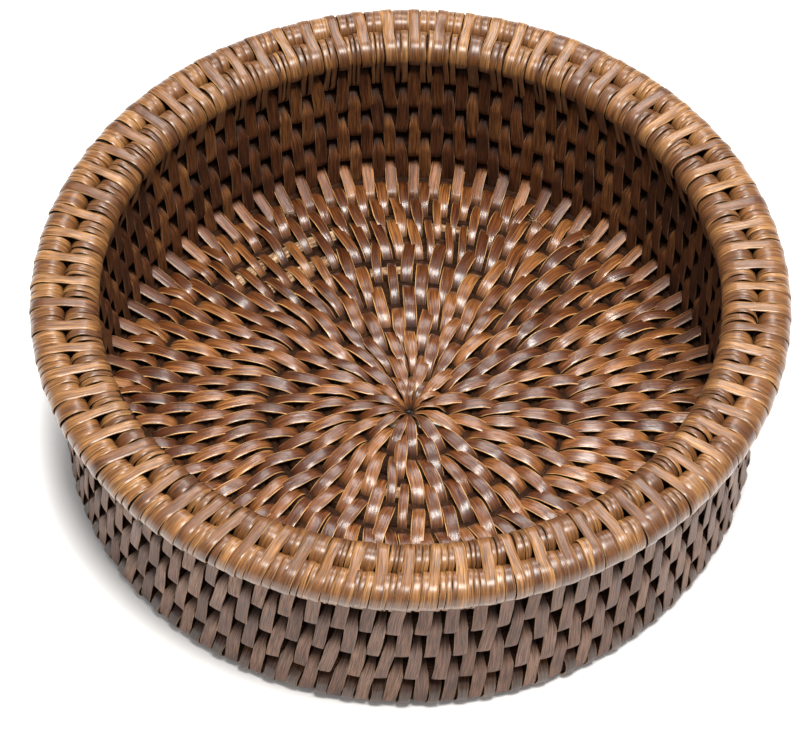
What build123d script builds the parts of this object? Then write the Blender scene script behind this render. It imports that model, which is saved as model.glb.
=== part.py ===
from build123d import *
import math
import os

# Woven fruit basket: a round tray of coiled cane, sewn coil to coil with narrow strips of rattan peel.
# Millimetres, +Z up, origin at the centre of the footprint on the surface the basket stands on.

# Overall size
RIM_OUTER_RADIUS = 100.0       # outermost peel of the rim
WALL_OUTER_RADIUS = 93.3       # outside of the peel on the upright wall
WALL_COURSES = 5               # rings of cane stacked in the wall
WALL_COURSE_PITCH = 10.5       # height from one wall ring to the next
FLOOR_PITCH = 8.13             # radial step from one floor turn to the next

# Cane sections
WALL_CANE_RADIUS = 4.1
RIM_CANE_RADIUS = 3.7
FLOOR_CANE_HALF_WIDTH = 2.85
FLOOR_CANE_HALF_HEIGHT = 2.2

# Rattan peel
PEEL_WIDTH = 3.1
RIM_PEEL_WIDTH = 3.0
PEEL_THICKNESS = 0.5
PEEL_CLEARANCE = 0.08          # air between a peel strip and what it wraps
STITCHES_PER_RING = 80         # stitches in one row of the wall or the rim
FLOOR_STITCHES = (10, 10, 20, 20, 40, 40, 40, 40, 80)   # stitches in each turn, from the centre out
CROWDING = 0.9                 # share of the room between two rows' stitches that they may fill
GAP = 0.25                     # free air between wrapped canes
RIM_GROOVE = 0.9               # the same in the groove between the two rim canes

# A strip either hugs the canes or lies over the strips that do
UNDER = PEEL_CLEARANCE
OVER = 2 * PEEL_CLEARANCE + PEEL_THICKNESS
UNDER_TOP = UNDER + PEEL_THICKNESS
OVER_TOP = OVER + PEEL_THICKNESS

# Derived positions
WALL_RADIUS = WALL_OUTER_RADIUS - UNDER_TOP - WALL_CANE_RADIUS
FOOT_FLAT_DEPTH = 0.25         # how far the foot strips are worn flat
FOOT_Z = WALL_CANE_RADIUS + OVER_TOP - FOOT_FLAT_DEPTH
TOP_COURSE_Z = FOOT_Z + (WALL_COURSES - 1) * WALL_COURSE_PITCH
RIM_Z = TOP_COURSE_Z + WALL_CANE_RADIUS + UNDER_TOP + GAP + OVER_TOP + RIM_CANE_RADIUS
RIM_OUTER_CANE_AT = RIM_OUTER_RADIUS - OVER_TOP - RIM_CANE_RADIUS
RIM_INNER_CANE_AT = RIM_OUTER_CANE_AT - 2 * RIM_CANE_RADIUS - 2 * UNDER_TOP - RIM_GROOVE
FLOOR_Z = FLOOR_CANE_HALF_HEIGHT + OVER_TOP + GAP
FLOOR_TURNS = len(FLOOR_STITCHES)
FLOOR_EDGE_AT = WALL_RADIUS - WALL_CANE_RADIUS - 2 * OVER_TOP - GAP - FLOOR_CANE_HALF_WIDTH
SPIRAL_START = FLOOR_EDGE_AT - FLOOR_TURNS * FLOOR_PITCH
SPIRAL_LIMIT = FLOOR_EDGE_AT - FLOOR_PITCH + FLOOR_CANE_HALF_WIDTH
MIN_TAIL = 1.0                 # the shaved tail of the spiral stops at this width
TAIL_SECTIONS = 12             # ovals that shape the shaved tail
HALF_TURN = 180.0


def save(name, shape):
    """Write one node of the basket."""
    shape.label = name
    export_step(shape, f"parts/{name}.step")
    print(name, len(shape.solids()), round(shape.volume, 1))


def group(name, solids):
    """Write many separate strips as one node."""
    save(name, Compound(children=list(solids)))


def cane_ring(radius, height, section_radius):
    """A closed ring of round cane."""
    return Pos(0, 0, height) * Torus(radius, section_radius)


def belt_wire(circle_a, circle_b, grow):
    """Tight loop in the XZ plane round two circles (x, z, radius), each grown by the same amount."""
    ax, az, ar = circle_a
    bx, bz, br = circle_b
    ar, br = ar + grow, br + grow
    along = math.atan2(bz - az, bx - ax)
    lean = math.acos((ar - br) / math.hypot(bx - ax, bz - az))

    def point(x, z, radius, angle):
        return Vector(x + radius * math.cos(angle), 0, z + radius * math.sin(angle))

    a_left, a_right = (point(ax, az, ar, along + side * lean) for side in (1, -1))
    b_left, b_right = (point(bx, bz, br, along + side * lean) for side in (1, -1))
    back = ThreePointArc(a_left, point(ax, az, ar, along + math.pi), a_right)
    front = ThreePointArc(b_right, point(bx, bz, br, along), b_left)
    return Wire([back, Line(a_right, b_right), front, Line(b_left, a_left)])


def circle_wire(circle, grow):
    """Loop in the XZ plane round one circle (x, z, radius)."""
    x, z, radius = circle
    plane = Plane(origin=(x, 0, z), z_dir=(0, -1, 0))
    return Wire.make_circle(radius + grow, plane)


def strip(loop, layer, width):
    """One stitch: a closed band of peel; loop(grow) gives the wire at a distance from the canes."""
    profile = Face(loop(layer + PEEL_THICKNESS), [loop(layer)])
    return extrude(profile, amount=width / 2, dir=(0, 1, 0), both=True)


def two_cane_strip(circle_a, circle_b, layer, width=PEEL_WIDTH):
    """A stitch that binds two neighbouring canes together."""
    return strip(lambda grow: belt_wire(circle_a, circle_b, grow), layer, width)


def around(band, phase):
    """Copies of one stitch spaced evenly round the axis; phase is in stitch pitches."""
    step = 360.0 / STITCHES_PER_RING
    return [Rot(0, 0, (index + phase) * step) * band for index in range(STITCHES_PER_RING)]


def reach(centre_x, radius, heading, aside=0.0):
    """Distance outward along a line that runs past the axis to a circle centred on the X axis."""
    along_x, along_y = math.cos(math.radians(heading)), math.sin(math.radians(heading))
    from_x, from_y = -aside * along_y - centre_x, aside * along_x
    run = from_x * along_x + from_y * along_y
    return math.sqrt(run ** 2 - from_x ** 2 - from_y ** 2 + radius ** 2) - run


def half_turn_arc(index):
    """Centre and radius of one half turn of the floor spiral; half turn 0 starts on the +X axis."""
    centre_x = -FLOOR_PITCH / 4 if index % 2 == 0 else FLOOR_PITCH / 4
    radius = SPIRAL_START + FLOOR_PITCH / 4 + index * FLOOR_PITCH / 2
    return centre_x, radius


def half_turn_at(turn, heading):
    """Which half turn of the spiral a turn (counted from 0) has at a heading."""
    return 2 * turn + int(heading >= HALF_TURN)


def tail_width(heading):
    """Width left of the last turn where its outer side is shaved to fit inside the edge ring."""
    centre_x, radius = half_turn_arc(half_turn_at(FLOOR_TURNS - 1, heading))
    return SPIRAL_LIMIT - reach(centre_x, radius - FLOOR_CANE_HALF_WIDTH, heading)


def spiral_end_heading():
    """Heading in the last turn at which the shaved tail is cut off."""
    heading = 0.0
    while tail_width(heading) > MIN_TAIL:
        heading += 1.0
    return heading


def floor_section(radius, half_width):
    """Flat oval section of floor cane, standing on the +X axis at a radius."""
    plane = Plane(origin=(radius, 0, FLOOR_Z), x_dir=(1, 0, 0), z_dir=(0, -1, 0))
    return plane * Ellipse(half_width, FLOOR_CANE_HALF_HEIGHT)


def shaved_tail():
    """The last turn of floor cane, narrowing so that its outer side stays inside the edge ring."""
    end_heading = spiral_end_heading()
    sections = []
    for step in range(TAIL_SECTIONS + 1):
        heading = end_heading * step / TAIL_SECTIONS
        half_width = tail_width(heading) / 2
        oval = Rot(0, 0, heading) * floor_section(SPIRAL_LIMIT - half_width, half_width)
        sections.append(oval.wire())
    return Solid.make_loft(sections)


def floor_spiral():
    """The floor's cane: half turns about two centres, then the shaved tail."""
    turns = [shaved_tail()]
    for index in range(2 * FLOOR_TURNS - 2):
        centre_x, radius = half_turn_arc(index)
        section = floor_section(radius, FLOOR_CANE_HALF_WIDTH)
        arc = revolve(section, axis=Axis.Z, revolution_arc=HALF_TURN)
        turns.append(Pos(centre_x, 0, 0) * Rot(0, 0, HALF_TURN * (index % 2)) * arc)
    return turns[0].fuse(*turns[1:])


def floor_stitch(turn, heading, width):
    """A stitch over one turn of the floor spiral and the cane next outside it."""
    tail_gone = tail_width(heading) < MIN_TAIL
    last = turn == FLOOR_TURNS - 1
    centre_x, radius = half_turn_arc(half_turn_at(turn - int(last and tail_gone), heading))
    sides = (-width / 2, 0.0, width / 2)
    inner = min(reach(centre_x, radius - FLOOR_CANE_HALF_WIDTH, heading, side) for side in sides)
    if last:
        outer = FLOOR_EDGE_AT + FLOOR_CANE_HALF_WIDTH
    else:
        next_outside = radius + FLOOR_PITCH + FLOOR_CANE_HALF_WIDTH
        outer = min(max(reach(centre_x, next_outside, heading, side) for side in sides), SPIRAL_LIMIT)
    inner_end = (inner + FLOOR_CANE_HALF_HEIGHT, FLOOR_Z, FLOOR_CANE_HALF_HEIGHT)
    outer_end = (outer - FLOOR_CANE_HALF_HEIGHT, FLOOR_Z, FLOOR_CANE_HALF_HEIGHT)
    return Rot(0, 0, heading) * two_cane_strip(inner_end, outer_end, UNDER, width)


def stitch_width(turn, heading):
    """Widest strip that leaves room for the stitches of the rows inside and outside this one."""
    counts = FLOOR_STITCHES + (STITCHES_PER_RING,)
    outer_radius = half_turn_arc(half_turn_at(turn, heading))[1] + FLOOR_PITCH / 2
    outward_room = math.pi / max(counts[turn], counts[turn + 1]) * outer_radius
    inner_radius = outer_radius - FLOOR_PITCH
    inward_room = math.pi / max(counts[turn], counts[max(turn - 1, 0)]) * inner_radius
    if turn == FLOOR_TURNS - 1 and tail_width(heading) < MIN_TAIL:
        inward_room = 2 * math.pi / counts[turn] * (inner_radius - FLOOR_PITCH) - PEEL_WIDTH
    return min(PEEL_WIDTH, CROWDING * inward_room, CROWDING * outward_room)


def floor_row(turn):
    """Stitches of one turn (counted from 0) and their phase, each between two of the row inside it."""
    phase = 0.0
    for inside in range(1, turn + 1):
        phase = phase * FLOOR_STITCHES[inside] / FLOOR_STITCHES[inside - 1] + 0.5
    count = FLOOR_STITCHES[turn]
    headings = [(index + phase % 1.0) * 360.0 / count for index in range(count)]
    if turn == FLOOR_TURNS - 2:
        headings = [heading for heading in headings if tail_width(heading) > MIN_TAIL]
    return [floor_stitch(turn, heading, stitch_width(turn, heading)) for heading in headings]


def level_foot(band):
    """Wear a foot stitch flat where it meets the surface."""
    below = Pos(WALL_RADIUS, 0, -WALL_CANE_RADIUS) * Box(4 * WALL_COURSE_PITCH, 4 * PEEL_WIDTH,
                                                         2 * WALL_CANE_RADIUS)
    return band - below


os.makedirs("parts", exist_ok=True)

# Canes
save("floor_spiral_cane", floor_spiral())
save("floor_edge_cane", revolve(floor_section(FLOOR_EDGE_AT, FLOOR_CANE_HALF_WIDTH), axis=Axis.Z))
course_heights = [FOOT_Z + course * WALL_COURSE_PITCH for course in range(WALL_COURSES)]
for course, height in enumerate(course_heights, start=1):
    save(f"wall_cane_course_{course}", cane_ring(WALL_RADIUS, height, WALL_CANE_RADIUS))
save("rim_inner_cane", cane_ring(RIM_INNER_CANE_AT, RIM_Z, RIM_CANE_RADIUS))
save("rim_outer_cane", cane_ring(RIM_OUTER_CANE_AT, RIM_Z, RIM_CANE_RADIUS))

# Floor lashing, one node for each turn of the spiral
for turn in range(FLOOR_TURNS):
    group(f"floor_lashing_turn_{turn + 1}", floor_row(turn))

# Foot lashing binds the floor's edge ring to the lowest wall ring, and the basket stands on it
edge_circle = (FLOOR_EDGE_AT - FLOOR_CANE_HALF_WIDTH + FLOOR_CANE_HALF_HEIGHT, FLOOR_Z,
               FLOOR_CANE_HALF_HEIGHT)
course_circles = [(WALL_RADIUS, height, WALL_CANE_RADIUS) for height in course_heights]
group("foot_lashing", around(level_foot(two_cane_strip(edge_circle, course_circles[0], OVER)), 0.0))

# Wall lashing, each row half a pitch round from the row below it
for row in range(WALL_COURSES - 1):
    band = two_cane_strip(course_circles[row], course_circles[row + 1], UNDER)
    group(f"wall_lashing_row_{row + 1}", around(band, 0.5 * (row + 1)))

# Rim lashing: the wall to the inner cane, round the outer cane, and across both
rim_inner_circle = (RIM_INNER_CANE_AT, RIM_Z, RIM_CANE_RADIUS)
rim_outer_circle = (RIM_OUTER_CANE_AT, RIM_Z, RIM_CANE_RADIUS)
cross_phase = 0.5 * (WALL_COURSES - 1)
inner_band = two_cane_strip(course_circles[-1], rim_inner_circle, UNDER, RIM_PEEL_WIDTH)
group("rim_inner_lashing", around(inner_band, cross_phase + 0.5))
outer_band = strip(lambda grow: circle_wire(rim_outer_circle, grow), UNDER, RIM_PEEL_WIDTH)
group("rim_outer_lashing", around(outer_band, cross_phase + 0.5))
cross_band = two_cane_strip(rim_inner_circle, rim_outer_circle, OVER, RIM_PEEL_WIDTH)
group("rim_cross_lashing", around(cross_band, cross_phase))
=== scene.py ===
import bpy
import math
import random
import numpy as np
from mathutils import Matrix, Vector


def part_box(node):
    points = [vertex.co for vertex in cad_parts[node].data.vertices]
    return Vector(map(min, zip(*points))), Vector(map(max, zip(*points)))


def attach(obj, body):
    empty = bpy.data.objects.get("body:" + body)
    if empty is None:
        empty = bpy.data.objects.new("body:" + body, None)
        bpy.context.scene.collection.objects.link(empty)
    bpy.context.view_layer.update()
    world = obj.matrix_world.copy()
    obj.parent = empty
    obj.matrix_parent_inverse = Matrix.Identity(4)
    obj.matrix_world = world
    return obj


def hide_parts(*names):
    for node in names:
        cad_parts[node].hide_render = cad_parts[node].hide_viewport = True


# Woven fruit basket: strips of rattan peel, stained brown, sewn over coiled cane.
# Lengths in this file are millimetres unless a name says otherwise; Blender's own unit is the metre.
MM = 0.001
TURN = 2 * math.pi

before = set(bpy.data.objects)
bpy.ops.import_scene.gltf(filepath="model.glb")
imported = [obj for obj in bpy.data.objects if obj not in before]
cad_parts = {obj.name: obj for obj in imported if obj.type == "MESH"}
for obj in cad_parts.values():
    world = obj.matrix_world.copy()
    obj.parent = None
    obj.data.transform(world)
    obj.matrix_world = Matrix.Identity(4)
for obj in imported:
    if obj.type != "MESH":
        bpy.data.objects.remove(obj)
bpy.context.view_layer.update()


def ring_of(node):
    """(radius, height, section radius) of a round cane ring, from its box."""
    low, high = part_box(node)
    section = (high.z - low.z) / 2
    return (high.x - section) / MM, (high.z + low.z) / 2 / MM, section / MM


# Canes of the wall and rim
COURSES = [ring_of(name) for name in sorted(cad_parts) if name.startswith("wall_cane_course_")]
WALL_COURSES = len(COURSES)
FOOT_Z = COURSES[0][1]
RIM_INNER = ring_of("rim_inner_cane")
RIM_OUTER = ring_of("rim_outer_cane")

# Floor
FLOOR_TURNS = 9                # turns of cane inside the edge ring
FLOOR_PITCH = 8.13             # radial step from one turn to the next
FLOOR_CANE_HALF_WIDTH = 2.85
EYE_LEAVES = 13                # strips that meet at the middle of the floor
EYE_HOLE = 1.2                 # radius of the hole where they meet
EYE_TOUCH = 1.2                # how far beyond the hole the leaves' full widths touch
FLOOR_STEP = 6.7               # room along the coil for one stitch and the one beside it
FLOOR_ARCH = 3.35              # how far a floor strip's top stands above the middle of its canes
FLOOR_SAG = 2.75               # how far its underside hangs below them
FLOOR_LEAN = 0.35              # how far a stitch's outer end is ahead of its inner end
FLOOR_FILL = 0.55              # share of the room between its neighbours that a strip takes
DOUBLE_GAP = 1.42              # a gap wider than this many steps takes two stitches
DOUBLE_SHARES = (0.29, 0.71)   # where those two stand in the gap
MOST_PULL = 0.2                # largest move toward even spacing, as a share of the gap
TAIL_END = math.radians(200)   # heading at which the last turn of cane runs out
EDGE_WIDTHS = (2.9, 3.0)       # widest inner and outer ends of the strips over the edge ring
edge_low, edge_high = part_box("floor_edge_cane")
FLOOR_Z = (edge_low.z + edge_high.z) / 2 / MM
FLOOR_HALF_HEIGHT = (edge_high.z - edge_low.z) / 2 / MM
FLOOR_EDGE_AT = edge_high.x / MM - FLOOR_CANE_HALF_WIDTH
SPIRAL_START = FLOOR_EDGE_AT - FLOOR_TURNS * FLOOR_PITCH
SPIRAL_LIMIT = FLOOR_EDGE_AT - FLOOR_PITCH + FLOOR_CANE_HALF_WIDTH
REACH = FLOOR_PITCH / 2 - 0.1  # from the middle of a cane to the end of a strip over it
EDGE_REACH = FLOOR_CANE_HALF_WIDTH + 0.75

# Peel strips
STITCHES_PER_RING = 80         # stitches in one row of the wall or rim
PEEL_THICKNESS = 0.36
PEEL_WIDTH = 3.5
HUG = 0.12                     # air between a strip and the cane it wraps
OVER = 0.5                     # the same where a strip lies over others
ARC_STEPS = 6                  # stations on a quarter of a loop's end
SIDE_STEPS = 9                 # stations on a loop's straight side
OVAL_STEPS = 20                # stations on each side of a floor loop

# A strip's section: share of its half width, share of its thickness
SECTION = np.array([(-0.98, 0.0), (-1.0, 0.7), (-0.94, 0.96), (-0.5, 1.08), (0.0, 1.13), (0.5, 1.08),
                    (0.94, 0.96), (1.0, 0.7), (0.98, 0.0)])

# Wall and foot
WALL_LEAN = 0.2                # steepest slope of the strips, sideways for each unit up
WALL_LEAN_AT = math.radians(215)
UPPER_SHARE = 0.68             # width of a wall strip's upper end, as a share of its lower end
HALF_STRIP = 9                 # about half the height of a wall strip
FOOT_CLEAR = 0.76              # lowest that the inner face of a foot strip runs

# Rim
CROSS_WIDTH = 2.9              # strips over both rim canes
GROOVE_SHARE = 0.28            # how wide the groove between the rim canes is, as a share of a cross strip
GROOVE_SIDE = math.radians(45)  # direction in which the inner rim strips crowd over the groove
GROOVE_SWELL = (0.55, 1.2)     # how far they do; the outer ones mirror them
RIM_SEAM = 0.06                # hairline between neighbouring rim strips

# Canes and fibres that show between the strips
GROOVE_CANE_RADIUS = 1.6
FLOOR_GROOVE_DROP = 0.4        # how far the groove canes lie below the thick ones beside them
RIM_GROOVE_DROP = 1.2
BARE_CANE_RADIUS = 2.35
BARE_CANE_RISE = 0.15          # how far a bare cane lies above the middle of the others
BARE_SLIMMING = 0.28           # how much narrower the strips are over bare cane
BARE_CANES = ((8, 108, 140), (7, 112, 134), (8, 74, 86), (6, 92, 104), (3, 258, 270))   # turn, degrees
TUFTS = ((62, 75), (51, 77), (118, 76))    # heading in degrees, radius
TUFT_FIBRES = 9
TUFT_POINTS = 5                # steps along a fibre
TUFT_FIBRE_RADIUS = 0.13

# Colours, from the darkest strips to the palest: (tone, linear colour)
FLOOR_TONES = ((0.25, (0.05, 0.012, 0.0025)), (0.45, (0.095, 0.024, 0.0046)),
               (0.6, (0.165, 0.05, 0.0098)), (0.8, (0.33, 0.132, 0.035)))
RIM_TONES = ((0.25, (0.085, 0.026, 0.006)), (0.45, (0.15, 0.053, 0.012)),
             (0.6, (0.23, 0.094, 0.023)), (0.8, (0.4, 0.2, 0.066)))
OUTER_WALL_TONES = ((0.25, (0.075, 0.034, 0.022)), (0.45, (0.14, 0.07, 0.045)),
                    (0.6, (0.19, 0.1, 0.066)), (0.8, (0.27, 0.155, 0.1)))
INNER_WALL_TONES = ((0.25, (0.02, 0.005, 0.0012)), (0.45, (0.075, 0.021, 0.005)),
                    (0.6, (0.14, 0.046, 0.012)), (0.8, (0.28, 0.115, 0.034)))
# The cane's ridges and pores are its own, but its near-black tones are painted shade: the canes show only in
# the gaps between the strips, where shade falls.
SHADE_DARK_CANE_TONES = ((0.3, (0.006, 0.002, 0.001)), (0.55, (0.022, 0.008, 0.003)), (0.75, (0.07, 0.03, 0.013)))
BARE_TONES = ((0.35, (0.06, 0.028, 0.014)), (0.5, (0.22, 0.13, 0.072)), (0.66, (0.5, 0.36, 0.23)))
CANE_RIDGES = 40.0             # pores in each radian round the basket
CANE_FINENESS = 1600.0         # the same across the cane, in each metre
BUMP_STRENGTH = 0.9

# Grain of the peel: noise steps for each millimetre across and along a strip, and a share of its shift
FIBRE_GRAIN = (2.6, 0.1, 1.0)
FINE_GRAIN = (6.5, 0.2, 1.3)
BLOTCH_GRAIN = (0.45, 0.14, 0.7)
STRIP_SHIFT = 100              # how far apart two strips can lie in the noise
OWN_SHARE, BLOTCH_SHARE, FIBRE_SHARE = 0.36, 0.3, 0.42   # what a strip's tone is made of
STREAK = (0.22, 0.17, 0.15)    # what the darkest streak leaves of the colour
PEEL_BUMP_M = 0.0003
CANE_BUMP_M = 0.0005

# Backdrop: paper with a painted glow outside the basket's foot, which keeps it white; the paper under and
# beside the foot gets no painted glow, so the basket's shadow stays there
BACKDROP_HALF_SIZE_M = 4.0
PAINTED_GLOW_RADII_M = (0.085, 0.108)  # where the glow starts and where it is full
PAINTED_GLOW = 0.44

# Camera
CAMERA_DISTANCE_M = 0.95
CAMERA_ELEVATION = math.radians(53.32)
CAMERA_TARGET_M = (0.0, 0.0, 0.025)
CAMERA_AIM = (0.122, -0.003, -0.964)   # degrees: yaw, pitch and roll away from the straight aim
FOCAL_SHARE = 4.2838           # focal length over image width
SENSOR = 36.0


# ---------------------------------------------------------------- strips

class Weave:
    """Collects the strips of one piece and makes its mesh."""

    def __init__(self, name, seed):
        self.name = name
        self.rng = random.Random(seed)
        self.verts, self.faces = [], []
        self.grain, self.place, self.facing = [], [], []
        self.count = 0

    def add(self, centre, outward, half_width, roll, thickness, span, side):
        """Adds one closed strip; each argument but thickness has a value for every station of the loop.

        centre is the middle of its inner face and outward the way its outer face looks.
        """
        stations, corners = len(centre), len(SECTION)
        forward = unit(np.roll(centre, -1, 0) - np.roll(centre, 1, 0))
        aside = unit(np.cross(forward, outward))
        up = np.cross(aside, forward)
        turned = aside * np.cos(roll)[:, None] + up * np.sin(roll)[:, None]
        up = up * np.cos(roll)[:, None] - aside * np.sin(roll)[:, None]
        across = SECTION[:, 0][None, :] * half_width[:, None]
        rise = SECTION[:, 1] * thickness
        points = (centre[:, None] + turned[:, None] * across[:, :, None]
                  + up[:, None] * rise[None, :, None])
        station, corner = np.meshgrid(np.arange(stations), np.arange(corners), indexing="ij")
        after, beside = station + 1, (corner + 1) % corners
        pairs = ((station, corner), (station, beside), (after, beside), (after, corner))
        faces = np.stack([(s % stations) * corners + c for s, c in pairs], -1).reshape(-1, 4)
        steps = np.linalg.norm(np.roll(centre, -1, 0) - centre, axis=1)
        along = np.concatenate([[0.0], np.cumsum(steps)])
        strip_seed = self.rng.random()
        grain = np.stack([np.stack([across[s % stations, c], along[s],
                                    np.full(s.shape, strip_seed * STRIP_SHIFT)], -1) for s, c in pairs], -2)
        place = np.stack([np.stack([span[s % stations], SECTION[c, 0],
                                    np.full(s.shape, strip_seed)], -1) for s, c in pairs], -2)
        level = np.zeros(station.shape)
        facing = np.stack([np.stack([side[s % stations], level, level], -1) for s, _ in pairs], -2)
        self.verts.append(points.reshape(-1, 3))
        self.faces.append(faces + self.count)
        self.grain.append(grain.reshape(-1, 3))
        self.place.append(place.reshape(-1, 3))
        self.facing.append(facing.reshape(-1, 3))
        self.count += stations * corners

    def make(self, material, slot, *nodes):
        """Makes the object, which stands for these CAD nodes."""
        mesh = bpy.data.meshes.new(self.name)
        mesh.from_pydata((np.concatenate(self.verts) * MM).tolist(), [],
                         np.concatenate(self.faces).tolist())
        for name, values in (("grain", self.grain), ("place", self.place), ("facing", self.facing)):
            attribute = mesh.attributes.new(name, "FLOAT_VECTOR", "CORNER")
            attribute.data.foreach_set("vector", np.concatenate(values).astype(np.float32).ravel())
        mesh.polygons.foreach_set("use_smooth", [True] * len(mesh.polygons))
        mesh.materials.append(material)
        piece = bpy.data.objects.new(self.name, mesh)
        bpy.context.scene.collection.objects.link(piece)
        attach(piece, "root")
        if nodes:
            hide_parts(*nodes)
        return piece


def unit(vectors):
    """The vectors scaled to length 1."""
    return vectors / np.linalg.norm(vectors, axis=-1, keepdims=True)


def smooth(t):
    """A soft step from 0 to 1."""
    t = np.clip(t, 0.0, 1.0)
    return t * t * (3 - 2 * t)


def belt(circle_a, circle_b, grow):
    """Loop in the (radius, height) plane round two circles (radius, height, section radius).

    Gives points, span (-1 at the far side of a, 1 at the far side of b) and side (1 left, -1 right).
    """
    a, b = np.array(circle_a[:2]), np.array(circle_b[:2])
    ar, br = circle_a[2] + grow, circle_b[2] + grow
    apart = np.linalg.norm(b - a)
    heading = math.atan2(b[1] - a[1], b[0] - a[0])
    lean = math.acos((ar - br) / apart)

    def arc(centre, radius, start, end, steps):
        angles = np.linspace(start, end, steps, endpoint=False)
        return centre + radius * np.stack([np.cos(angles), np.sin(angles)], -1)

    def run(start, end):
        return start + (end - start) * np.linspace(0, 1, SIDE_STEPS, endpoint=False)[:, None]

    def on(centre, radius, angle):
        return centre + radius * np.array([math.cos(angle), math.sin(angle)])

    right = run(on(a, ar, heading - lean), on(b, br, heading - lean))
    left = run(on(b, br, heading + lean), on(a, ar, heading + lean))
    points = np.concatenate([
        arc(a, ar, heading + math.pi, heading + TURN - lean, ARC_STEPS), right,
        arc(b, br, heading - lean, heading + lean, 2 * ARC_STEPS), left,
        arc(a, ar, heading + lean, heading + math.pi, ARC_STEPS)])
    direction = (b - a) / apart
    middle = (a + b) / 2 + direction * (br - ar) / 2
    span = (points - middle) @ direction / ((apart + ar + br) / 2)
    side = (points - middle) @ np.array([-direction[1], direction[0]]) / max(ar, br)
    return points, span, np.clip(side, -1, 1)


def hoop(circle, grow):
    """Loop round one circle (radius, height, section radius), as belt gives it."""
    angles = np.linspace(0, TURN, 2 * OVAL_STEPS, endpoint=False)
    span, side = np.cos(angles), np.sin(angles)
    return np.array(circle[:2]) + (circle[2] + grow) * np.stack([span, side], -1), span, side


def oval(inner, outer, height, top, bottom):
    """Flattened loop in the (radius, height) plane between two radii, square-shouldered at both ends.

    Gives points, span (-1 at the inner end, 1 at the outer end) and side (1 above, -1 below).
    """
    middle, half = (inner + outer) / 2, (outer - inner) / 2
    sweep = np.sin(np.linspace(-math.pi / 2, math.pi / 2, OVAL_STEPS, endpoint=False))
    below = (1 - np.abs(sweep) ** 3.4) ** (1 / 2.3)
    above = 1 - np.abs(sweep) ** 2.6
    span = np.concatenate([sweep, -sweep])
    side = np.concatenate([-below, above])
    depth = np.where(side > 0, top, bottom)
    return np.stack([middle + half * span, height + depth * side], -1), span, side


def outline_normals(points):
    """Outward normals of a counter-clockwise loop in the (radius, height) plane."""
    step = unit(np.roll(points, -1, 0) - np.roll(points, 1, 0))
    return np.stack([step[:, 1], -step[:, 0]], -1)


def stand(points, normals, heading, aside):
    """Turns a loop in the (radius, height) plane to a heading, each station moved aside along the ring."""
    radial = np.array([math.cos(heading), math.sin(heading), 0.0])
    tangent = np.array([-math.sin(heading), math.cos(heading), 0.0])
    upward = np.array([0.0, 0.0, 1.0])
    centre = points[:, :1] * radial + points[:, 1:] * upward + aside[:, None] * tangent
    return centre, normals[:, :1] * radial + normals[:, 1:] * upward


def wobble(rng, span, size):
    """A slow random wave along a strip."""
    start, turns = rng.uniform(0, TURN), rng.uniform(0.35, 0.7)
    return size * np.sin(start + TURN * turns * span)


# ---------------------------------------------------------------- floor

def spiral_radius(angle):
    """Radius of the floor's cane after it has turned through an angle."""
    return SPIRAL_START + FLOOR_PITCH * angle / TURN


def spiral_stitches(rng):
    """[inner angle, outer angle, how many share the gap] of each stitch along the spiral.

    A stitch starts in the gap between two stitches of the turn inside it; a wide gap takes two.
    """
    stitches = []
    for index in range(EYE_LEAVES):
        angle = TURN * (index / EYE_LEAVES - 1) + rng.uniform(-0.05, 0.05)
        stitches.append([angle, angle, 1])
    last = TURN * (FLOOR_TURNS - 2) + TAIL_END
    index = 0
    while stitches[-1][1] < last:
        start, end = stitches[index][1], stitches[index + 1][1]
        gap = end - start
        shares = (0.5,)
        radius = spiral_radius((start + end) / 2 + TURN) + FLOOR_PITCH / 2
        if gap * radius > DOUBLE_GAP * FLOOR_STEP:
            shares = DOUBLE_SHARES
        for share in shares:
            inner = start + gap * share + TURN
            even = stitches[-1][1] + FLOOR_STEP / radius
            pull = max(-MOST_PULL * gap, min(MOST_PULL * gap, 0.5 * (even - inner)))
            stitches.append([inner, inner + pull + FLOOR_LEAN / radius, len(shares)])
        index += 1
    return stitches


def floor_strip(weave, heading, inner, outer, shift, widths):
    """A strip over the floor's cane from one radius to another; shift is (inner, outer) sideways."""
    rng = weave.rng
    points, span, side = oval(inner, outer, FLOOR_Z, FLOOR_ARCH * rng.uniform(0.96, 1.04), FLOOR_SAG)
    aside = shift[0] + (shift[1] - shift[0]) * smooth((span + 1) / 2)
    aside = aside + rng.uniform(-0.15, 0.45) * (1 - span ** 2) + wobble(rng, span, 0.1)
    inner_width, outer_width = widths
    middle_width = max(widths) * rng.uniform(1.0, 1.08)
    width = np.interp(span, (-1, -0.9, -0.6, -0.15, 0.2, 0.6, 0.9, 1),
                      (0.72 * inner_width, 0.92 * inner_width, inner_width, middle_width, middle_width,
                       outer_width, 0.94 * outer_width, 0.75 * outer_width))
    roll = math.radians(rng.gauss(3, 6)) * side + wobble(rng, span, 0.05)
    normals = outline_normals(points)
    centre, outward = stand(points, normals, heading, aside)
    weave.add(centre, outward, width / 2, roll, PEEL_THICKNESS * rng.uniform(0.85, 1.15), span, side)


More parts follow.
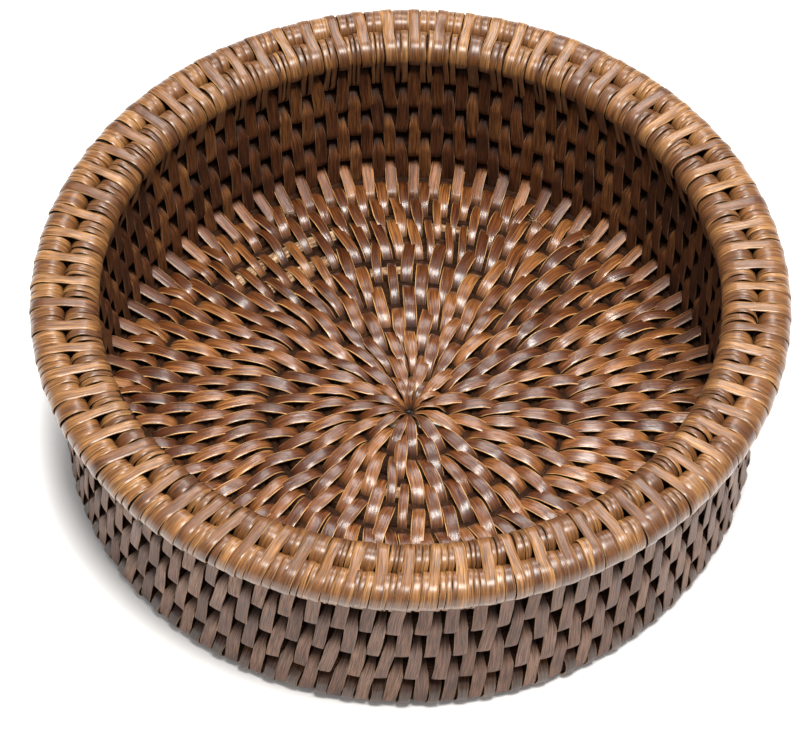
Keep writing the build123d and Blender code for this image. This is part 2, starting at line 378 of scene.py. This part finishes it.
def floor_rows(materials):
    """The floor's strips: the leaves round the eye, the spiral's turns, the row over the edge ring."""
    rng = random.Random(11)
    stitches = spiral_stitches(rng)
    spread = []
    for index, (_, outer, _) in enumerate(stitches):
        before = stitches[max(index - 1, 0)][1]
        after = stitches[min(index + 1, len(stitches) - 1)][1]
        neighbours = 2 if 0 < index < len(stitches) - 1 else 1
        room = (after - before) / neighbours * spiral_radius(outer + TURN)
        spread.append(min(PEEL_WIDTH, FLOOR_FILL * room))
    weaves = {turn: Weave(f"floor_peel_turn_{turn}" if turn else "floor_peel_eye", 100 + turn)
              for turn in range(FLOOR_TURNS + 1)}
    bounds = [stitch[1] for stitch in stitches]
    for index, (inner, outer, shared) in enumerate(stitches):
        turn = max(int((inner + TURN) // TURN), 0)
        if turn >= FLOOR_TURNS:
            break
        eye = inner < 0
        start = EYE_HOLE if eye else spiral_radius(inner) - REACH
        end = min(spiral_radius(inner + TURN) + REACH, SPIRAL_LIMIT + REACH)
        if eye:
            inner_width = TURN * (EYE_HOLE + EYE_TOUCH) / EYE_LEAVES
        else:
            inner_width = gap_width(bounds, spread, inner - TURN, shared, spiral_radius(inner))
        heading = (inner + outer) / 2
        shift = ((inner - heading) * start, (outer - heading) * end)
        jitter = rng.uniform(-0.3, 0.3)
        slim = 1 - BARE_SLIMMING * over_bare_cane(heading, turn)
        floor_strip(weaves[turn], heading, start, end, (shift[0] + 0.3 * jitter, shift[1] + jitter),
                    (slim * inner_width, slim * spread[index]))
    edge_row(weaves[FLOOR_TURNS], bounds, spread)
    for turn, weave in weaves.items():
        nodes = [f"floor_lashing_turn_{turn}"] if turn else []
        weave.make(materials["floor"], "floor_peel", *nodes)


def over_bare_cane(heading, turn):
    """Whether a strip of this turn lies over a length of bare cane."""
    degrees = math.degrees(heading) % 360
    return any(first <= degrees <= last and bare_turn in (turn, turn + 1)
               for bare_turn, first, last in BARE_CANES)


def gap_width(bounds, spread, angle, shared, radius):
    """Width that a strip can have where it passes between two strips of the turn inside it."""
    after = int(np.searchsorted(bounds, angle))
    after = min(max(after, 1), len(bounds) - 1)
    gap = (bounds[after] - bounds[after - 1]) * radius
    free = gap - (spread[after] + spread[after - 1]) / 2
    return min(PEEL_WIDTH, max(1.02 * free / shared, 1.0))


def edge_row(weave, bounds, spread):
    """The strips that bind the last turn of cane to the floor's edge ring."""
    turns = FLOOR_TURNS - 1
    for index in range(STITCHES_PER_RING):
        heading = (index + 0.5) * TURN / STITCHES_PER_RING
        past_tail = heading > TAIL_END
        angle = heading + (turns - (2 if past_tail else 1)) * TURN
        start = spiral_radius(angle + TURN) - REACH
        after = min(max(int(np.searchsorted(bounds, angle)), 1), len(bounds) - 1)
        between = (bounds[after] + bounds[after - 1]) / 2
        inner_shift = 0.6 * (between - angle) * start
        outer_shift = weave.rng.uniform(-0.25, 0.25)
        width = gap_width(bounds, spread, angle, 1, start)
        floor_strip(weave, heading, start, FLOOR_EDGE_AT + EDGE_REACH, (inner_shift, outer_shift),
                    (min(width, EDGE_WIDTHS[0]), EDGE_WIDTHS[1]))


# ---------------------------------------------------------------- wall and foot

def wall_lean(heading):
    """Slope of the wall's strips: they lean along the ring on one side and stand upright elsewhere."""
    return WALL_LEAN * (0.5 + 0.5 * math.cos(heading - WALL_LEAN_AT)) ** 2


def lean_shift(heading, heights):
    """Sideways shift of points of a leaning strip at these heights."""
    return wall_lean(heading) * (heights - FOOT_Z)


def wall_strip(weave, heading, circles, widths, grow=HUG, jitter=0.22, tilt=2.2, swell=0.0, foot=False):
    """A strip round two canes, one above the other; widths are at its lower and upper end.

    tilt is in degrees. A foot strip is flattened below, and its outer end has the outside's colours.
    """
    rng = weave.rng
    points, span, side = belt(*circles, grow)
    normals = outline_normals(points)
    points = swelled(points, normals, GROOVE_SIDE, swell) + normals * rng.uniform(0, 0.2)
    if foot:
        points[:, 1] = np.maximum(points[:, 1], FOOT_CLEAR)
        side = side - 1.3 * smooth((span - 0.72) / 0.2)
    low, high = widths
    width = np.interp(span, (-1, -0.7, 0, 0.6, 0.85, 1), (0.95 * low, low, low, low, high, 0.8 * high))
    width = width * (1 + wobble(rng, span, 0.03))
    aside = lean_shift(heading, points[:, 1]) + rng.uniform(-jitter, jitter)
    aside = aside + math.tan(math.radians(rng.gauss(0, tilt))) * span * HALF_STRIP
    aside = aside + wobble(rng, span, 0.1)
    roll = math.radians(rng.gauss(0, 3)) + wobble(rng, span, 0.04)
    centre, outward = stand(points, normals, heading, aside)
    weave.add(centre, outward, width / 2, roll, PEEL_THICKNESS * rng.uniform(0.85, 1.15), span, side)


def headings(phase):
    """Evenly spaced headings round the basket; phase is in stitch pitches."""
    return [(index + phase) * TURN / STITCHES_PER_RING for index in range(STITCHES_PER_RING)]


def wall_rows(materials):
    """The wall's rows of strips, each half a pitch round from the row below."""
    for row in range(1, WALL_COURSES):
        weave = Weave(f"wall_peel_row_{row}", 200 + row)
        circles = COURSES[row - 1], COURSES[row]
        for heading in headings(0.5 * row):
            width = PEEL_WIDTH * weave.rng.uniform(0.95, 1.05)
            wall_strip(weave, heading, circles, (width, UPPER_SHARE * width))
        weave.make(materials["wall"], "wall_peel", f"wall_lashing_row_{row}")


def foot_row(materials):
    """The strips that bind the floor's edge ring to the lowest wall ring; the basket stands on them."""
    weave = Weave("foot_peel", 250)
    edge = (FLOOR_EDGE_AT - FLOOR_CANE_HALF_WIDTH + FLOOR_HALF_HEIGHT, FLOOR_Z, FLOOR_HALF_HEIGHT)
    for heading in headings(0.0):
        width = PEEL_WIDTH * weave.rng.uniform(0.95, 1.05)
        wall_strip(weave, heading, (edge, COURSES[0]), (0.9 * width, width), OVER, foot=True)
    weave.make(materials["foot"], "wall_peel", "foot_lashing")


# ---------------------------------------------------------------- rim

def rim_room(radius):
    """Room between two cross strips along a rim cane."""
    return TURN * radius / STITCHES_PER_RING - CROSS_WIDTH


def swelled(points, normals, heading, size):
    """The loop with the side that faces this way in the (radius, height) plane pushed outward."""
    toward = np.clip(normals @ np.array([math.cos(heading), math.sin(heading)]), 0, 1)
    return points + normals * (size * toward ** 3)[:, None]


def shares_of(rng, *counts):
    """How a few strips share the room between two cross strips; counts are equally likely."""
    parts = [rng.uniform(0.8, 1.2) for _ in range(rng.choice(counts))]
    return [part / sum(parts) for part in parts]


def rim_cross(materials):
    """Strips over both rim canes, narrowed where they bridge the groove."""
    weave = Weave("rim_peel_cross", 300)
    rng = weave.rng
    for heading in headings(0.5 * (WALL_COURSES - 1)):
        points, span, side = belt(RIM_INNER, RIM_OUTER, HUG + 0.1)
        normals = outline_normals(points)
        groove = np.exp(-(span / GROOVE_SHARE) ** 2) * (side > 0)
        aside = lean_shift(heading, points[:, 1]) + rng.gauss(0, 0.35) * span + rng.uniform(-0.2, 0.2)
        aside = aside + wobble(rng, span, 0.15)
        width = CROSS_WIDTH * rng.uniform(0.98, 1.12) * (1 - rng.uniform(-0.05, 0.12) * groove)
        points = points + normals * (rng.uniform(0, 0.12) + rng.uniform(0.0, 0.2) * groove)[:, None]
        roll = math.radians(rng.gauss(0, 3)) + rng.gauss(0, 0.12) * groove
        centre, outward = stand(points, normals, heading, aside)
        weave.add(centre, outward, width / 2, roll, PEEL_THICKNESS * 1.1, span, side)
    weave.make(materials["rim"], "rim_peel", "rim_cross_lashing")


def rim_inner(materials):
    """Strips that bind the wall to the inner rim cane, packed between the cross strips."""
    weave = Weave("rim_peel_inner", 310)
    rng = weave.rng
    for heading in headings(0.5 * WALL_COURSES):
        start = -0.5
        for share in shares_of(rng, 1, 2, 2, 2, 3):
            room = rim_room(RIM_INNER[0])
            offset = (start + share / 2) * room / RIM_INNER[0]
            start += share
            width = share * room - RIM_SEAM
            wall_strip(weave, heading + offset, (COURSES[-1], RIM_INNER), (0.8 * width, width),
                       jitter=0.06, tilt=0.5, swell=rng.uniform(*GROOVE_SWELL))
    weave.make(materials["rim"], "rim_peel", "rim_inner_lashing")


def rim_outer(materials):
    """Strips round the outer rim cane only, packed between the cross strips."""
    weave = Weave("rim_peel_outer", 320)
    rng = weave.rng
    for heading in headings(0.5 * WALL_COURSES):
        start = -0.5
        for share in shares_of(rng, 1, 2, 2, 3):
            room = rim_room(RIM_OUTER[0])
            offset = (start + share / 2) * room / RIM_OUTER[0]
            start += share
            points, span, side = hoop(RIM_OUTER, HUG)
            normals = outline_normals(points)
            points = swelled(points, normals, math.pi - GROOVE_SIDE, rng.uniform(*GROOVE_SWELL))
            points = points + normals * rng.uniform(0, 0.05)
            width = (share * room - RIM_SEAM) * (1 + wobble(rng, span, 0.02))
            aside = lean_shift(heading, points[:, 1]) + wobble(rng, span, 0.08)
            roll = math.radians(rng.gauss(0, 0.8)) + wobble(rng, span, 0.015)
            centre, outward = stand(points, normals, heading + offset, aside)
            weave.add(centre, outward, width / 2, roll, PEEL_THICKNESS, span, side)
    weave.make(materials["rim"], "rim_peel", "rim_outer_lashing")


# ---------------------------------------------------------------- packing canes

def add_tube(name, path, radius, material):
    """A thin round cane along a path of (x, y, z) points."""
    curve = bpy.data.curves.new(name, "CURVE")
    curve.dimensions = "3D"
    curve.bevel_depth = radius * MM
    curve.bevel_resolution = 3
    spline = curve.splines.new("POLY")
    spline.points.add(len(path) - 1)
    for point, place in zip(spline.points, path):
        point.co = (*(value * MM for value in place), 1.0)
    curve.materials.append(material)
    piece = bpy.data.objects.new(name, curve)
    bpy.context.scene.collection.objects.link(piece)
    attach(piece, "root")


def frayed_tuft(name, heading, radius, height, material):
    """Loose fibres, pale where the peel has split, that stick up from the floor's edge."""
    rng = random.Random(name)
    curve = bpy.data.curves.new(name, "CURVE")
    curve.dimensions = "3D"
    curve.bevel_depth = TUFT_FIBRE_RADIUS * MM
    root = Vector((radius * math.cos(heading), radius * math.sin(heading), height))
    for _ in range(TUFT_FIBRES):
        spline = curve.splines.new("POLY")
        spline.points.add(TUFT_POINTS)
        start = root + Vector((rng.uniform(-1.2, 1.2), rng.uniform(-0.8, 0.8), 0))
        aim = Vector((rng.uniform(-1, 1), rng.uniform(-1, 0.6), rng.uniform(0.5, 1.1))).normalized()
        droop, length = rng.uniform(0.1, 0.5), rng.uniform(2.5, 5.0)
        for step, point in enumerate(spline.points):
            t = step / TUFT_POINTS
            place = start + aim * length * t - Vector((0, 0, droop * length * t * t))
            point.co = (*(place * MM), 1.0)
            point.radius = 1.0 - 0.8 * t
    curve.materials.append(material)
    piece = bpy.data.objects.new(name, curve)
    bpy.context.scene.collection.objects.link(piece)
    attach(piece, "root")


def frayed_tufts(materials):
    """The floor's tufts of split peel."""
    for index, (heading, radius) in enumerate(TUFTS, start=1):
        frayed_tuft(f"frayed_tuft_{index}", math.radians(heading), radius, FLOOR_Z + FLOOR_ARCH + 0.2,
                    materials["bare"])


def ring_path(radius, height):
    """Points of a level ring, closed by its last point."""
    return [(radius * math.cos(angle), radius * math.sin(angle), height)
            for angle in np.linspace(0, TURN, STITCHES_PER_RING * 2 + 1)]


def midway(ring_a, ring_b):
    """(radius, height) midway between two rings."""
    return (ring_a[0] + ring_b[0]) / 2, (ring_a[1] + ring_b[1]) / 2


def packing_canes(materials):
    """Thin canes laid in the grooves between the thick ones; in the near-black cane material they fill the
    holes between the strips with painted shade.
    """
    groove_z = FLOOR_Z - FLOOR_GROOVE_DROP
    angles = np.linspace(0.3 * TURN, TURN * (FLOOR_TURNS - 1), 1200)
    radii = spiral_radius(angles) + FLOOR_PITCH / 2
    paths = {"floor_groove_cane":
             [(r * math.cos(a), r * math.sin(a), groove_z) for r, a in zip(radii, angles)]}
    for row in range(1, WALL_COURSES):
        paths[f"wall_groove_cane_{row}"] = ring_path(*midway(COURSES[row - 1], COURSES[row]))
    paths["under_rim_groove_cane"] = ring_path(*midway(COURSES[-1], RIM_INNER))
    corner = (FLOOR_EDGE_AT + FLOOR_CANE_HALF_WIDTH + COURSES[0][0] - COURSES[0][2]) / 2
    paths["corner_groove_cane"] = ring_path(corner, FLOOR_Z)
    edge_groove = (SPIRAL_LIMIT + FLOOR_EDGE_AT - FLOOR_CANE_HALF_WIDTH) / 2
    paths["edge_groove_cane"] = ring_path(edge_groove, groove_z)
    rim_radius, rim_height = midway(RIM_INNER, RIM_OUTER)
    paths["rim_groove_cane"] = ring_path(rim_radius, rim_height - RIM_GROOVE_DROP)
    for name, path in paths.items():
        add_tube(name, path, GROOVE_CANE_RADIUS, materials["cane"])


def bare_canes(materials):
    """Short lengths of unstained cane that show between the floor's strips."""
    for index, (turn, first, last) in enumerate(BARE_CANES, start=1):
        angles = [math.radians(first + (last - first) * step / 12) for step in range(13)]
        radii = [spiral_radius(angle + (turn - 1) * TURN) for angle in angles]
        path = [(r * math.cos(a), r * math.sin(a), FLOOR_Z + BARE_CANE_RISE) for r, a in zip(radii, angles)]
        add_tube(f"bare_cane_{index}", path, BARE_CANE_RADIUS, materials["bare"])


# ---------------------------------------------------------------- materials

class Nodes:
    """A material's nodes, with short helpers."""

    def __init__(self, name):
        self.material = bpy.data.materials.new(name)
        self.material.use_nodes = True
        self.tree = self.material.node_tree
        self.tree.nodes.clear()
        self.shader = self.add("ShaderNodeBsdfPrincipled")
        output = self.add("ShaderNodeOutputMaterial")
        self.link(self.shader.outputs["BSDF"], output.inputs["Surface"])

    def add(self, kind, **settings):
        node = self.tree.nodes.new(kind)
        for key, value in settings.items():
            setattr(node, key, value)
        return node

    def link(self, source, target):
        self.tree.links.new(source, target)

    def put(self, value, socket):
        """Links an output to a socket, or sets its value."""
        if isinstance(value, bpy.types.NodeSocket):
            self.link(value, socket)
        else:
            socket.default_value = value

    def math(self, operation, first, second=0.0):
        node = self.add("ShaderNodeMath", operation=operation)
        self.put(first, node.inputs[0])
        self.put(second, node.inputs[1])
        return node.outputs[0]

    def distance(self, x, y):
        """Distance from the basket's axis."""
        return self.math("SQRT", self.math("ADD", self.math("MULTIPLY", x, x), self.math("MULTIPLY", y, y)))

    def attribute(self, name):
        return self.add("ShaderNodeAttribute", attribute_name=name).outputs["Vector"]

    def split(self, vector):
        node = self.add("ShaderNodeSeparateXYZ")
        self.link(vector, node.inputs[0])
        return node.outputs

    def scaled(self, vector, scale):
        node = self.add("ShaderNodeVectorMath", operation="MULTIPLY")
        self.link(vector, node.inputs[0])
        node.inputs[1].default_value = scale
        return node.outputs[0]

    def noise(self, vector, detail=3.0, roughness=0.5):
        node = self.add("ShaderNodeTexNoise", noise_dimensions="3D")
        self.link(vector, node.inputs["Vector"])
        node.inputs["Scale"].default_value = 1.0
        node.inputs["Detail"].default_value = detail
        node.inputs["Roughness"].default_value = roughness
        return node.outputs["Fac"]

    def random(self, value, offset):
        """A random number from 0 to 1 for each value."""
        node = self.add("ShaderNodeTexWhiteNoise", noise_dimensions="1D")
        self.link(self.math("ADD", self.math("MULTIPLY", value, 173.0), offset), node.inputs["W"])
        return node.outputs["Value"]

    def ramp(self, value, *stops):
        """Colours for a number; stops are (number, colour)."""
        node = self.add("ShaderNodeValToRGB")
        elements = node.color_ramp.elements
        while len(elements) < len(stops):
            elements.new(0.5)
        for element, (at, colour) in zip(elements, stops):
            element.position = at
            element.color = (*colour, 1.0)
        self.link(value, node.inputs["Fac"])
        return node.outputs["Color"]

    def range(self, value, low, high, to_low=0.0, to_high=1.0):
        """A soft step from to_low to to_high as the value goes from low to high."""
        node = self.add("ShaderNodeMapRange", interpolation_type="SMOOTHSTEP")
        for socket, number in zip(node.inputs[1:5], (low, high, to_low, to_high)):
            socket.default_value = number
        self.link(value, node.inputs[0])
        return node.outputs[0]

    def mix(self, share, first, second, blend="MIX"):
        node = self.add("ShaderNodeMix", data_type="RGBA", blend_type=blend)
        self.put(share, node.inputs["Factor"])
        self.put(first, node.inputs["A"])
        self.put(second, node.inputs["B"])
        return node.outputs["Result"]

    def bump(self, height, distance):
        """Bumps this deep, in metres."""
        node = self.add("ShaderNodeBump")
        node.inputs["Distance"].default_value = distance
        node.inputs["Strength"].default_value = BUMP_STRENGTH
        self.link(height, node.inputs["Height"])
        return node.outputs["Normal"]


def peel_material(name, tones, edge, ends, roughness, coat, inside=None, specular=0.5, ripple=0.00016):
    """Rattan peel: fibres along the strip, a tone for each strip, pale rubbed edges, painted shade at the
    ends where the strip dives under its neighbours, varnish.

    edge and ends are (strength, colour), ends being the painted shade at the strip's ends; roughness is
    (smoothest, roughest) and coat (weight, roughness).
    inside is the tones of the side that faces into the basket, ripple the depth of the varnish's ripples.
    """
    n = Nodes(name)
    grain = n.attribute("grain")
    place = n.split(n.attribute("place"))
    fibres = n.noise(n.scaled(grain, FIBRE_GRAIN), detail=3.0, roughness=0.6)
    fine = n.noise(n.scaled(grain, FINE_GRAIN), detail=2.0)
    blotch = n.noise(n.scaled(grain, BLOTCH_GRAIN), detail=2.0)
    own = n.random(place[2], 1.0)
    tone = n.math("ADD", n.math("MULTIPLY", own, OWN_SHARE), n.math("MULTIPLY", blotch, BLOTCH_SHARE))
    tone = n.math("ADD", tone, n.math("MULTIPLY", fibres, FIBRE_SHARE))
    colour = n.ramp(tone, *tones)
    if inside is not None:
        side = n.split(n.attribute("facing"))[0]
        colour = n.mix(n.range(side, -0.3, 0.3), colour, n.ramp(tone, *inside))
    across = n.math("ABSOLUTE", place[1])
    rubbed = n.math("MULTIPLY", n.range(across, 0.86, 0.94), n.range(blotch, 0.2, 0.45))
    colour = n.mix(n.math("MULTIPLY", rubbed, edge[0]), colour, (*edge[1], 1))
    # Painted shade: each strip darkens towards its ends, where it dives under the strips and canes beside it.
    along = n.math("ABSOLUTE", place[0])
    painted_end_shade = n.math("MULTIPLY", n.range(along, 0.7, 0.98), ends[0])
    colour = n.mix(painted_end_shade, colour, (*ends[1], 1))
    streak = n.math("ADD", n.math("MULTIPLY", fine, 0.5), n.math("MULTIPLY", fibres, 0.5))
    streaks = n.ramp(n.range(streak, 0.36, 0.62), (0, STREAK), (1, (1.0, 1.0, 1.0)))
    colour = n.mix(0.9, colour, n.mix(1.0, colour, streaks, "MULTIPLY"))
    n.link(colour, n.shader.inputs["Base Color"])
    gloss = n.range(n.math("ADD", streak, n.math("MULTIPLY", n.random(place[2], 7.0), 0.3)), 0.35, 0.85,
                    *roughness)
    n.link(gloss, n.shader.inputs["Roughness"])
    n.shader.inputs["Coat Weight"].default_value = coat[0]
    n.shader.inputs["Coat Roughness"].default_value = coat[1]
    height = n.math("ADD", n.math("MULTIPLY", fibres, 0.6), n.math("MULTIPLY", fine, 0.4))
    n.link(n.bump(height, PEEL_BUMP_M), n.shader.inputs["Normal"])
    n.link(n.bump(height, ripple), n.shader.inputs["Coat Normal"])
    n.shader.inputs["Specular IOR Level"].default_value = specular
    return n.material


# In each peel below, the ends colour (the second pair) is painted shade at the strips' ends.
def floor_peel():
    return peel_material("floor_peel", FLOOR_TONES, (1.0, (0.62, 0.35, 0.13)),
                         (0.8, (0.012, 0.004, 0.002)), (0.42, 0.65), (0.92, 0.25), specular=0.2)


def rim_peel():
    return peel_material("rim_peel", RIM_TONES, (0.5, (0.55, 0.33, 0.14)), (0.3, (0.07, 0.022, 0.008)),
                         (0.42, 0.62), (0.7, 0.32), specular=0.3, ripple=0.00006)


def wall_peel():
    return peel_material("wall_peel", OUTER_WALL_TONES, (0.5, (0.32, 0.2, 0.12)), (0.6, (0.02, 0.009, 0.005)),
                         (0.5, 0.7), (0.04, 0.4), INNER_WALL_TONES, specular=0.3)


def foot_peel():
    return peel_material("foot_peel", OUTER_WALL_TONES, (0.8, (0.5, 0.3, 0.13)), (0.6, (0.02, 0.009, 0.005)),
                         (0.45, 0.65), (0.4, 0.28), FLOOR_TONES, specular=0.3)


def cane_material(name, tones):
    """Cane core: fibres and ridges along the cane, which runs round the basket, and darker pores."""
    n = Nodes(name)
    position = n.add("ShaderNodeNewGeometry").outputs["Position"]
    x, y, z = n.split(position)
    around = n.math("ARCTAN2", y, x)
    along = n.add("ShaderNodeCombineXYZ")
    away = n.distance(x, y)
    n.link(n.math("MULTIPLY", around, CANE_RIDGES), along.inputs[0])
    n.link(n.math("MULTIPLY", away, CANE_FINENESS), along.inputs[1])
    n.link(n.math("MULTIPLY", z, CANE_FINENESS), along.inputs[2])
    ridges = n.noise(along.outputs[0], detail=2.0)
    patches = n.noise(n.scaled(position, (90.0, 90.0, 90.0)), detail=2.0)
    tone = n.math("ADD", n.math("MULTIPLY", ridges, 0.65), n.math("MULTIPLY", patches, 0.35))
    n.link(n.ramp(tone, *tones), n.shader.inputs["Base Color"])
    n.shader.inputs["Roughness"].default_value = 0.85
    n.shader.inputs["Specular IOR Level"].default_value = 0.1
    n.link(n.bump(ridges, CANE_BUMP_M), n.shader.inputs["Normal"])
    return n.material


def backdrop_material():
    """Pale paper, faintly mottled, with a painted glow beyond the basket's foot and none under and beside it.
    """
    n = Nodes("backdrop_paper")
    geometry = n.add("ShaderNodeNewGeometry")
    mottle = n.noise(n.scaled(geometry.outputs["Position"], (9.0, 9.0, 9.0)))
    paper = n.ramp(mottle, (0.3, (0.86, 0.86, 0.86)), (0.7, (0.89, 0.89, 0.89)))
    n.link(paper, n.shader.inputs["Base Color"])
    n.shader.inputs["Roughness"].default_value = 0.9
    x, y, _ = n.split(geometry.outputs["Position"])
    # Painted glow: the paper emits light beyond the basket's foot, rising from none at the first radius to
    # full at the second.
    n.shader.inputs["Emission Color"].default_value = (1.0, 1.0, 1.0, 1.0)
    n.link(n.range(n.distance(x, y), *PAINTED_GLOW_RADII_M, 0.0, PAINTED_GLOW), n.shader.inputs["Emission Strength"])
    return n.material


# ---------------------------------------------------------------- stage, lights and camera

def add_floor(material):
    """A plain pale surface, much larger than the basket."""
    size = BACKDROP_HALF_SIZE_M
    mesh = bpy.data.meshes.new("backdrop")
    mesh.from_pydata([(-size, -size, 0), (size, -size, 0), (size, size, 0), (-size, size, 0)], [],
                     [(0, 1, 2, 3)])
    mesh.materials.append(material)
    backdrop = bpy.data.objects.new("backdrop", mesh)
    bpy.context.scene.collection.objects.link(backdrop)


def area_light(name, place, target, size, watts, colour):
    data = bpy.data.lights.new(name, "AREA")
    data.shape = "DISK"
    data.size = size
    data.energy = watts
    data.color = colour
    light = bpy.data.objects.new(name, data)
    light.location = place
    light.rotation_euler = (Vector(target) - Vector(place)).to_track_quat("-Z", "Y").to_euler()
    bpy.context.scene.collection.objects.link(light)


def add_lights():
    target = (0, 0, 0.03)
    area_light("key", (0.1, -0.2, 1.2), target, 0.5, 32, (1.0, 0.97, 0.93))
    area_light("back", (0.1, 0.95, 1.1), target, 0.6, 12, (1.0, 0.97, 0.94))
    world = bpy.data.worlds.new("soft_room")
    world.use_nodes = True
    background = world.node_tree.nodes["Background"]
    background.inputs["Color"].default_value = (1.0, 1.0, 1.0, 1.0)
    background.inputs["Strength"].default_value = 0.22
    bpy.context.scene.world = world


def add_camera():
    """The camera looks down on the basket from the front, along +Y."""
    data = bpy.data.cameras.new("camera")
    data.sensor_width = SENSOR
    data.lens = FOCAL_SHARE * SENSOR
    camera = bpy.data.objects.new("camera", data)
    place = Vector((0, -CAMERA_DISTANCE_M * math.cos(CAMERA_ELEVATION),
                    CAMERA_DISTANCE_M * math.sin(CAMERA_ELEVATION)))
    forward = (Vector(CAMERA_TARGET_M) - place).normalized()
    right = forward.cross(Vector((0, 0, 1))).normalized()
    aim = Matrix((right, right.cross(forward), -forward)).transposed()
    yaw, pitch, roll = (math.radians(angle) for angle in CAMERA_AIM)
    for angle, axis in ((yaw, "Y"), (pitch, "X"), (-roll, "Z")):
        aim = aim @ Matrix.Rotation(angle, 3, axis)
    camera.matrix_world = Matrix.Translation(place) @ aim.to_4x4()
    bpy.context.scene.collection.objects.link(camera)
    bpy.context.scene.camera = camera


# ---------------------------------------------------------------- build

bpy.context.scene.view_settings.view_transform = "Standard"
materials = {"floor": floor_peel(), "rim": rim_peel(), "wall": wall_peel(), "foot": foot_peel(),
             "cane": cane_material("cane_core", SHADE_DARK_CANE_TONES),
             "bare": cane_material("cane_bare", BARE_TONES)}
# Painted shade: the CAD canes take the near-black cane material, for the gaps where they show between the
# strips.
for name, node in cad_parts.items():
    if name.endswith("_cane") or "_cane_" in name:
        node.data.materials.clear()
        node.data.materials.append(materials["cane"])
floor_rows(materials)
foot_row(materials)
wall_rows(materials)
rim_inner(materials)
rim_outer(materials)
rim_cross(materials)
packing_canes(materials)
bare_canes(materials)
frayed_tufts(materials)
add_floor(backdrop_material())
add_lights()
add_camera()
